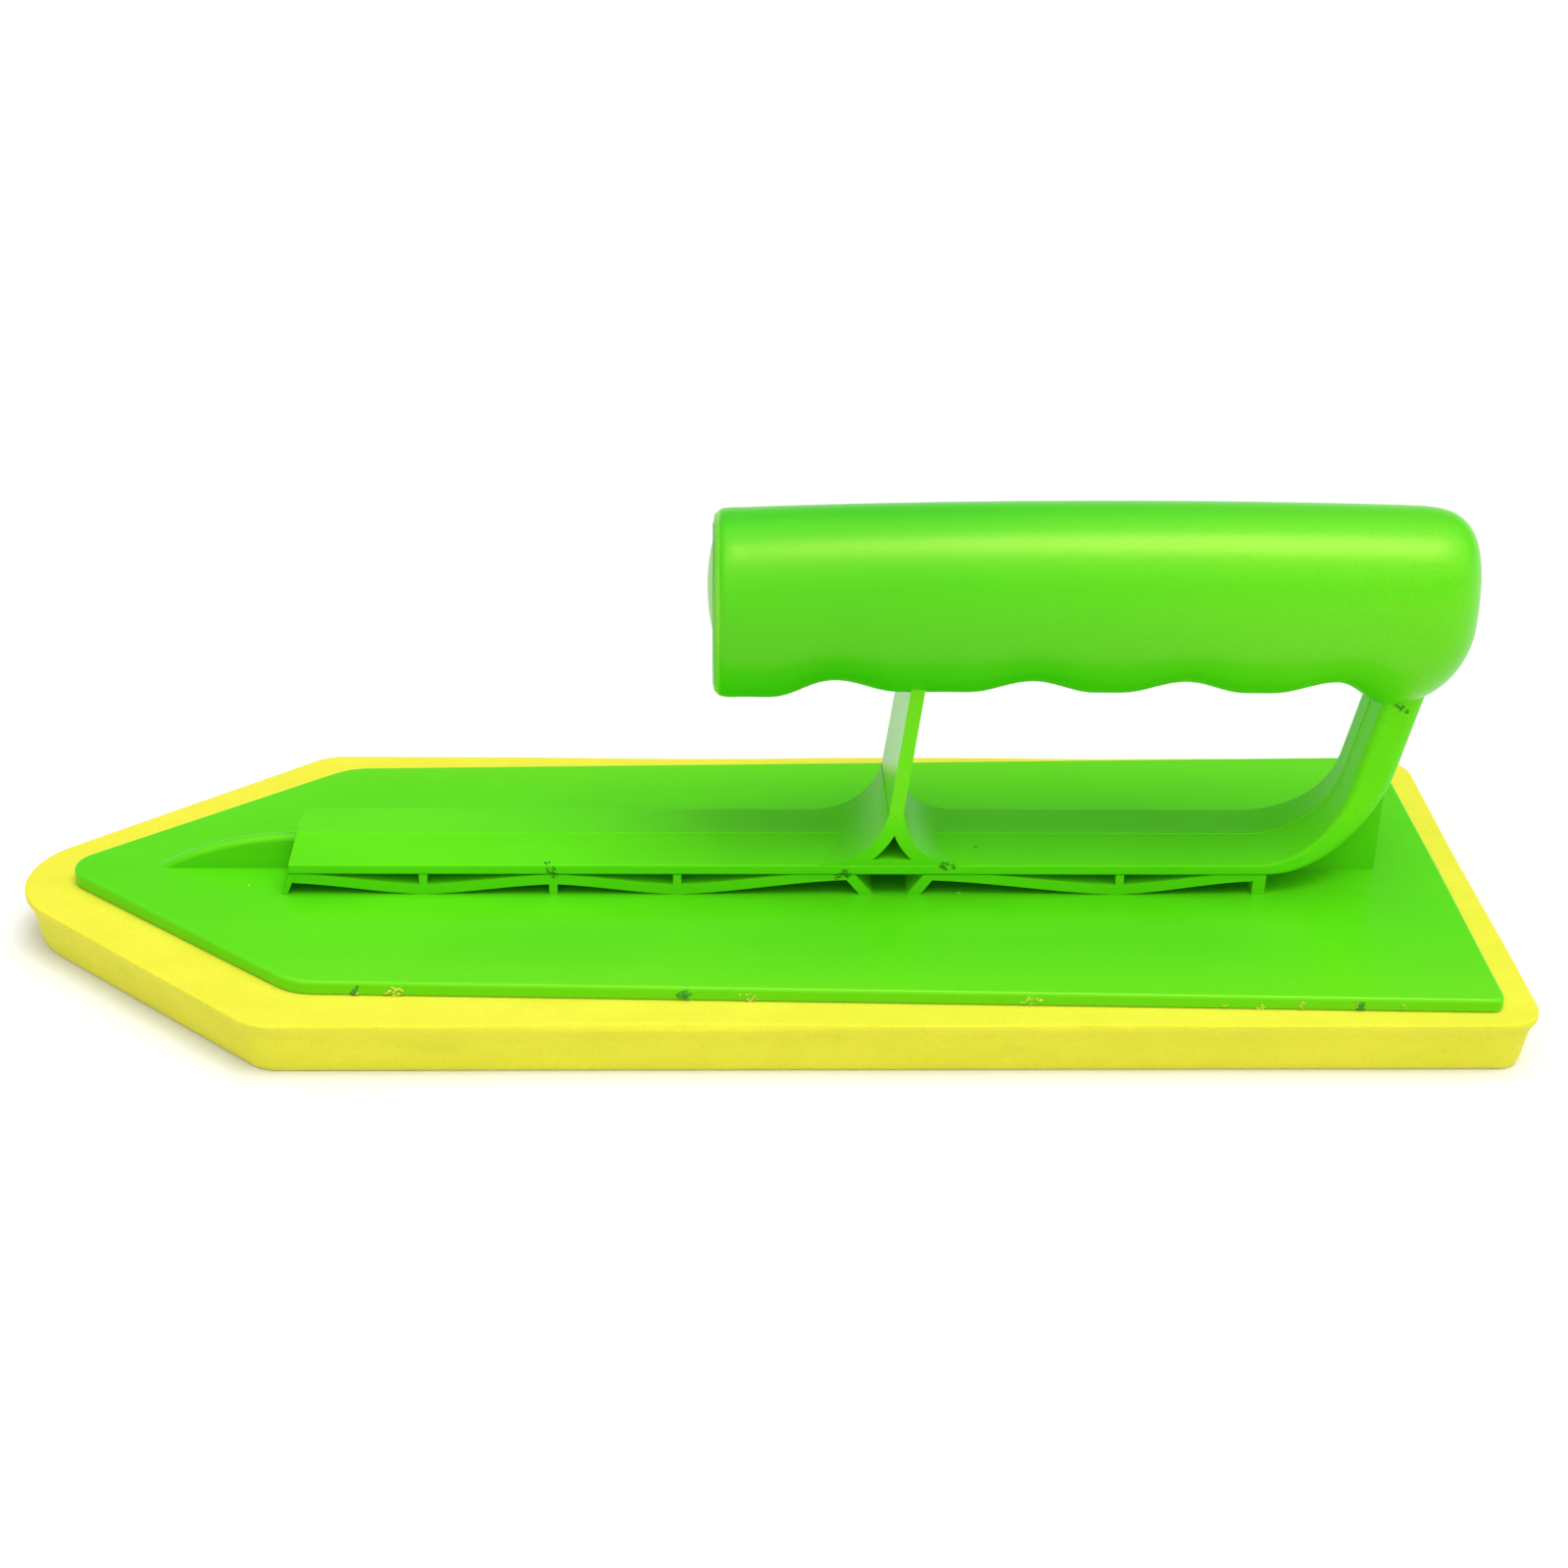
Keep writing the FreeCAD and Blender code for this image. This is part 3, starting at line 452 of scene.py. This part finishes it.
def foam_color(graph, mottle, fine):
    """Yellow, duller and slightly soiled on the cut side below the top edge."""
    color = graph.mix(graph.ramp(mottle, *MIDDLE_BAND), *FOAM_TOP)
    height = graph.distance_from((0, 0, 0), (0, 0, 1))
    blurred = graph.math(
        "ADD", height, graph.ramp(mottle, *MIDDLE_BAND, -CUT_WANDER, CUT_WANDER))
    side = graph.ramp(blurred, *CUT_LIMIT, 1.0, 0.0)
    cut = graph.mix(graph.ramp(mottle, *NARROW_BAND), *FOAM_CUT)
    color = graph.mix(side, color, cut)
    color = graph.mix(graph.ramp(fine, *GRIT_BAND, 0.0, GRIT_SHARE), color, FOAM_GRIT)
    soil = graph.noise(SOIL_SCALE, detail=5.0, roughness=0.65, offset=SOIL_OFFSET)
    soiled = graph.math("MULTIPLY", graph.ramp(soil, *SOIL_BAND, 0.0, SOIL_SHARE), side)
    return graph.mix(soiled, color, FOAM_SOIL)


def yellow_foam():
    """Closed-cell foam with fine pores."""
    graph = Graph("yellow_foam")
    mottle = graph.noise(MOTTLE_SCALE, detail=4.0, roughness=0.6)
    fine = graph.noise(FINE_SCALE, detail=3.0, roughness=0.6)
    color = foam_color(graph, mottle, fine)
    rough = graph.ramp(fine, *MIDDLE_BAND, *FOAM_ROUGH)
    pores = graph.ramp(graph.cells(PORE_SCALE), *PORE_BAND)
    grain = graph.bump(pores, 0.35, PORE_DEPTH)
    lumps = graph.bump(mottle, 0.30, MOTTLE_DEPTH, grain)
    return graph.finish(
        color, rough, lumps, Specular_IOR_Level=0.25, Sheen_Weight=0.08,
        Sheen_Roughness=0.5)


def dried_glue():
    """Clear adhesive that has yellowed where it was squeezed out."""
    graph = Graph("clear_glue")
    cloud = graph.noise(GLUE_SCALE, detail=4.0)
    color = graph.mix(graph.ramp(cloud, *GLUE_BAND), *GLUE_TONES)
    rough = graph.ramp(cloud, *MIDDLE_BAND, *GLUE_ROUGH)
    return graph.finish(
        color, rough, graph.bump(cloud, 0.4, LUMP_DEPTH), Specular_IOR_Level=0.5)


def crumb_material(name, tones):
    """Crumbs caught in the glue."""
    graph = Graph(name)
    patch = graph.noise(CRUMB_SCALE, detail=4.0)
    color = graph.mix(graph.ramp(patch, *NARROW_BAND), *tones)
    rough = graph.ramp(patch, *MIDDLE_BAND, *CRUMB_ROUGH)
    return graph.finish(
        color, rough, graph.bump(patch, 0.5, LUMP_DEPTH), Specular_IOR_Level=0.4)


def floor_material():
    """Plain matt white, very slightly uneven."""
    graph = Graph("studio_floor")
    fleck = graph.noise(FLOOR_SCALE, detail=3.0)
    color = graph.mix(graph.ramp(fleck, *MIDDLE_BAND), *FLOOR_TONES)
    rough = graph.ramp(fleck, *MIDDLE_BAND, *FLOOR_ROUGH)
    return graph.finish(
        color, rough, graph.bump(fleck, 0.02, FLOOR_DEPTH), Specular_IOR_Level=0.0)


# ---- pieces ----------------------------------------------------------------------------

def new_piece(name, mesh, material, slot, *replaced):
    """Object from a bmesh, that rides on the body and stands for the given CAD nodes."""
    data = bpy.data.meshes.new(name)
    mesh.to_mesh(data)
    mesh.free()
    for face in data.polygons:
        face.use_smooth = True
    data.materials.append(material)
    piece = bpy.data.objects.new(name, data)
    bpy.context.scene.collection.objects.link(piece)
    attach(piece, "root")
    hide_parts(*replaced)
    return piece


def pad_corners(inset):
    """Corners of the pointed outline with their radii, moved in by inset."""
    half = PAD_HIGH.y - inset
    point_x = -PAD_HIGH.x - PAD_TIP_RADIUS * (1 / math.sin(PAD_NOSE_ANGLE) - 1)
    shoulder_x = point_x + PAD_HIGH.y / math.tan(PAD_NOSE_ANGLE)
    point_x += inset / math.sin(PAD_NOSE_ANGLE)
    shoulder_x += inset * math.tan(math.pi / 4 - PAD_NOSE_ANGLE / 2)
    rear_x = PAD_HIGH.x - inset
    corners = [
        Vector((point_x, 0)), Vector((shoulder_x, -half)), Vector((rear_x, -half)),
        Vector((rear_x, half)), Vector((shoulder_x, half)),
    ]
    radii = [
        PAD_TIP_RADIUS, PAD_SHOULDER_RADIUS, PAD_CORNER_RADIUS, PAD_CORNER_RADIUS,
        PAD_SHOULDER_RADIUS,
    ]
    return corners, [max(radius - inset, PAD_SMALLEST_RADIUS) for radius in radii]


def pad_counts():
    """Number of steps on each arc and each straight of the outline."""
    corners, radii = pad_corners(0.0)
    arcs = []
    for radius in radii:
        arcs.append(max(PAD_ARC_LEAST, round(radius * PAD_ARC_TURN / (PAD_STEP * PAD_ARC_STEP))))
    straights = []
    for index, corner in enumerate(corners):
        following = corners[(index + 1) % len(corners)]
        straights.append(round((following - corner).length / PAD_STEP))
    return arcs, straights


def corner_arc(corner, before, after, radius, steps):
    """Points of the arc that rounds one corner between two directions."""
    half = before.angle(after) / 2
    toward = (before + after).normalized()
    centre = corner + toward * (radius / math.sin(half))
    start = corner + before * (radius / math.tan(half))
    arc = []
    for step in range(steps + 1):
        angle = (math.pi - 2 * half) * step / steps
        arc.append(centre + Matrix.Rotation(angle, 2) @ (start - centre))
    return arc


def pad_ring(inset, counts):
    """Points of the outline at an inset, in the same order and number at every inset."""
    corners, radii = pad_corners(inset)
    arc_steps, straights = counts
    arcs = []
    for index, corner in enumerate(corners):
        before = (corners[index - 1] - corner).normalized()
        after = (corners[(index + 1) % len(corners)] - corner).normalized()
        arcs.append(corner_arc(corner, before, after, radii[index], arc_steps[index]))
    points = []
    for index, arc in enumerate(arcs):
        points += arc
        following = arcs[(index + 1) % len(arcs)][0]
        for step in range(1, straights[index]):
            points.append(arc[-1].lerp(following, step / straights[index]))
    return points


def make_foam_pad(material):
    """Foam pad with a flared lip, a leaning wall, a soft foot and a slightly uneven cut."""
    counts = pad_counts()
    top_z = PAD_HIGH.z
    profile = [(inset * MM, top_z) for inset in PAD_TOP_RINGS]
    profile += [(inset * MM, z * MM) for inset, z in PAD_WALL]
    profile += [(inset * MM, 0.0) for inset in PAD_FOOT_RINGS]
    mesh = bmesh.new()
    rings = []
    for inset, z in profile:
        ring = []
        for point in pad_ring(inset, counts):
            ring.append(mesh.verts.new((point.x, point.y, z)))
        rings.append(ring)
    count = len(rings[0])
    for upper, lower in zip(rings, rings[1:]):
        for index in range(count):
            follower = (index + 1) % count
            mesh.faces.new((upper[index], lower[index], lower[follower], upper[follower]))
    mesh.faces.new(rings[0])
    mesh.faces.new(list(reversed(rings[-1])))
    roughen_pad(mesh, top_z)
    bmesh.ops.recalc_face_normals(mesh, faces=mesh.faces)
    pad = new_piece("foam_pad_visual", mesh, material, "yellow_foam", "foam_pad")


def wall_pits():
    """X, height and radius of the small pits in the pad's left wall."""
    draw = random.Random(PIT_SEED)
    pits = []
    for _ in range(PIT_COUNT):
        x = draw.uniform(PAD_LOW.x, PAD_HIGH.x)
        height = draw.uniform(*PIT_HEIGHTS) * MM
        pits.append((x, height, draw.uniform(*PIT_RADII) * MM))
    return pits


def cut_depth(point, top_z):
    """How far the uneven cut runs inside the pad's own box at a point."""
    place = point / MM
    wave = noise.noise(Vector((
        place.x * CUT_WAVE_PITCH, place.y * CUT_WAVE_PITCH, CUT_WAVE_LAYER)))
    worn = max(0.0, noise.noise(Vector((
        place.x * LIP_WEAR_PITCH, place.y * LIP_WEAR_PITCH, LIP_WEAR_LAYER))))
    fine = noise.noise(place * CUT_FINE_PITCH)
    near_lip = max(0.0, 1 - (top_z - point.z) / LIP_DEPTH)
    edge = CUT_WAVE + CUT_WAVE * near_lip
    depth = edge * (0.5 + 0.5 * wave) + CUT_FINE * (0.5 + 0.5 * fine)
    return (depth + LIP_WEAR * near_lip * worn) * MM


def roughen_pad(mesh, top_z):
    """Small waves of the cut edge and pits in the wall, kept inside the pad's own box."""
    pits = wall_pits()
    for vert in mesh.verts:
        outward = Vector((vert.co.x * LEAN_OUTWARD, vert.co.y, 0)).normalized()
        inward = cut_depth(vert.co, top_z)
        for pit_x, pit_z, radius in pits:
            reach = math.hypot(vert.co.x - pit_x, vert.co.z - pit_z)
            if reach < radius and vert.co.y < 0:
                inward += PIT_DEPTH * radius * (1 - (reach / radius) ** 2)
        if vert.co.z > FLAT_FOOT:
            vert.co -= outward * inward


def make_flakes(name, clusters, material, seed):
    """Thin ragged flakes stuck to the plate's left edge and the glue line under it."""
    draw = random.Random(seed)
    mesh = bmesh.new()
    for x, spread, count, length in clusters:
        for _ in range(count):
            place = x * MM + draw.gauss(0, spread * FLAKE_SPREAD) * MM
            add_flake(mesh, draw, place, length * draw.uniform(*FLAKE_LENGTHS) * MM)
    new_piece(name, mesh, material, "clear_glue", "glue_beads")


def add_flake(mesh, draw, x, length):
    """One flattened, fractal lump that leans against the edge of the plate."""
    seed = Vector([draw.uniform(0, 50) for _ in range(3)])
    turn = Matrix.Rotation(draw.uniform(-FLAKE_LEAN, FLAKE_LEAN), 3, "Y")
    height = PAD_HIGH.z + draw.uniform(*FLAKE_HEIGHTS) * MM
    centre = Vector((x, plate_edge_y(x) - FLAKE_SINK, height))
    made = bmesh.ops.create_icosphere(mesh, subdivisions=3, radius=1.0)
    for vert in made["verts"]:
        torn = 1 + FLAKE_TEAR * noise.fractal(vert.co * FLAKE_TEAR_PITCH + seed, *FLAKE_FRACTAL)
        shape = Vector((
            vert.co.x * length, vert.co.y * FLAKE_THICK, vert.co.z * length * FLAKE_TALL))
        vert.co = centre + turn @ (shape * torn)
        vert.co.z = max(vert.co.z, PAD_HIGH.z - FLAKE_BURIED)


def plate_edge_y(x):
    """Y of the plate's left edge beside x, on the straight run behind the shoulder."""
    along = (x - PLATE_SHOULDER_X) / (PLATE_HIGH.x - PLATE_SHOULDER_X)
    return -PLATE_NOSE_HALF + (PLATE_LOW.y + PLATE_NOSE_HALF) * along


# ---- stage -----------------------------------------------------------------------------

def make_floor():
    """Plain square floor under the pad."""
    mesh = bmesh.new()
    bmesh.ops.create_grid(mesh, x_segments=1, y_segments=1, size=FLOOR_HALF)
    data = bpy.data.meshes.new("floor")
    mesh.to_mesh(data)
    mesh.free()
    data.materials.append(floor_material())
    floor = bpy.data.objects.new("floor", data)
    bpy.context.scene.collection.objects.link(floor)


def make_world():
    """Studio dome: bright overhead, brighter in front, with a pale wall at the horizon."""
    world = bpy.data.worlds.new("studio")
    bpy.context.scene.world = world
    world.use_nodes = True
    tree = world.node_tree
    shade = tree.nodes["Background"]
    shade.inputs["Color"].default_value = (*WHITE, 1.0)
    place = tree.nodes.new("ShaderNodeTexCoord")
    split = tree.nodes.new("ShaderNodeSeparateXYZ")
    tree.links.new(place.outputs["Generated"], split.inputs["Vector"])
    total = None
    for axis, *limits in (DOME_OVERHEAD, DOME_FRONT, DOME_WALL):
        part = smooth_range(tree, *limits)
        tree.links.new(split.outputs[axis], part.inputs["Value"])
        if total is None:
            total = part.outputs["Result"]
            continue
        add = tree.nodes.new("ShaderNodeMath")
        tree.links.new(total, add.inputs[0])
        tree.links.new(part.outputs["Result"], add.inputs[1])
        total = add.outputs["Value"]
    tree.links.new(total, shade.inputs["Strength"])


def make_sun(name, strength, angle, tilt, turn, color):
    """Large distant soft box; tilt is from straight overhead, turn is about the vertical."""
    data = bpy.data.lights.new(name, "SUN")
    data.energy = strength
    data.color = color
    data.angle = math.radians(angle)
    light = bpy.data.objects.new(name, data)
    light.rotation_euler = (math.radians(tilt), 0, math.radians(turn))
    bpy.context.scene.collection.objects.link(light)


def make_camera():
    """Camera that looks along +Y and down, a little off square."""
    data = bpy.data.cameras.new("camera")
    data.lens = CAMERA_LENS
    data.sensor_width = CAMERA_SENSOR
    data.clip_start = CAMERA_NEAR
    data.clip_end = CAMERA_FAR
    camera = bpy.data.objects.new("camera", data)
    turn = Matrix.Rotation(-CAMERA_YAW, 4, "Z")
    tilt = Matrix.Rotation(math.pi / 2 - CAMERA_DIP, 4, "X")
    roll = Matrix.Rotation(CAMERA_ROLL, 4, "Z")
    camera.matrix_world = Matrix.Translation(CAMERA_PLACE) @ turn @ tilt @ roll
    bpy.context.scene.collection.objects.link(camera)
    bpy.context.scene.camera = camera


# ---- whole scene -----------------------------------------------------------------------

PLATE_NODES = ("base_plate", "front_fin", "rear_gusset")


def paint_cad_nodes():
    """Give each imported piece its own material; the rail, truss and posts share one."""
    glue = dried_glue()
    special = {
        "glue_film": glue,
        "glue_beads": glue,
        # the centre web is painted a darker green: painted shade
        "centre_web": green_plastic("green_web_painted_shade", SHADED_GREEN, shine=0.1, rough=0.5),
        # the grip carries painted light on its rear half and a painted highlight round its front
        # rim
        "handle_grip": green_plastic(
            "green_grip", GRIP_GREEN, (painted_light_rear, painted_highlight_rim), streaks=0.18, shine=0.85,
            rough=0.33),
        # the end plug is painted yellower than the grip: painted reflection
        "end_plug": green_plastic("green_plug_painted_reflection", PLUG_REFLECTION_GREEN, shine=0.6, rough=0.3),
        # the front post is painted the lighter post green: painted light
        "front_post": green_plastic("green_stem_painted_light", LIT_POST_GREEN, rough=0.25, grain=0.01),
    }
    # the plate carries painted light towards its long edges, painted shade under the rail, and
    # real pale chips
    body = green_plastic(
        "green_body", PLATE_GREEN,
        (painted_light_sides, painted_shade_under_rail, marks(PLATE_CHIPS, PALE_WEAR_AND_HIGHLIGHT)))
    # the frame carries painted light on its posts and real grime smudges
    truss = green_plastic(
        "green_frame", RAIL_GREEN, (painted_light_posts, marks(FRAME_SMUDGES, GRIME)),
        shine=0.15, rough=0.4)
    for name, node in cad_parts.items():
        material = body if name in PLATE_NODES else special.get(name, truss)
        node.data.materials.clear()
        node.data.materials.append(material)


def main():
    bpy.context.scene.view_settings.view_transform = "Standard"
    make_camera()
    make_floor()
    make_world()
    for sun in SUNS:
        make_sun(*sun)
    paint_cad_nodes()
    make_foam_pad(yellow_foam())
    make_flakes("edge_crumbs", SCRAPS, crumb_material("crumb_foam", CRUMB_TONES), SCRAPS_SEED)
    # dark green flakes put where the nicks in the plate's edge are shaded: painted shade
    make_flakes("edge_nick_shade", NICKS, crumb_material("nick_painted_shade", NICK_SHADE_TONES), NICKS_SEED)


main()
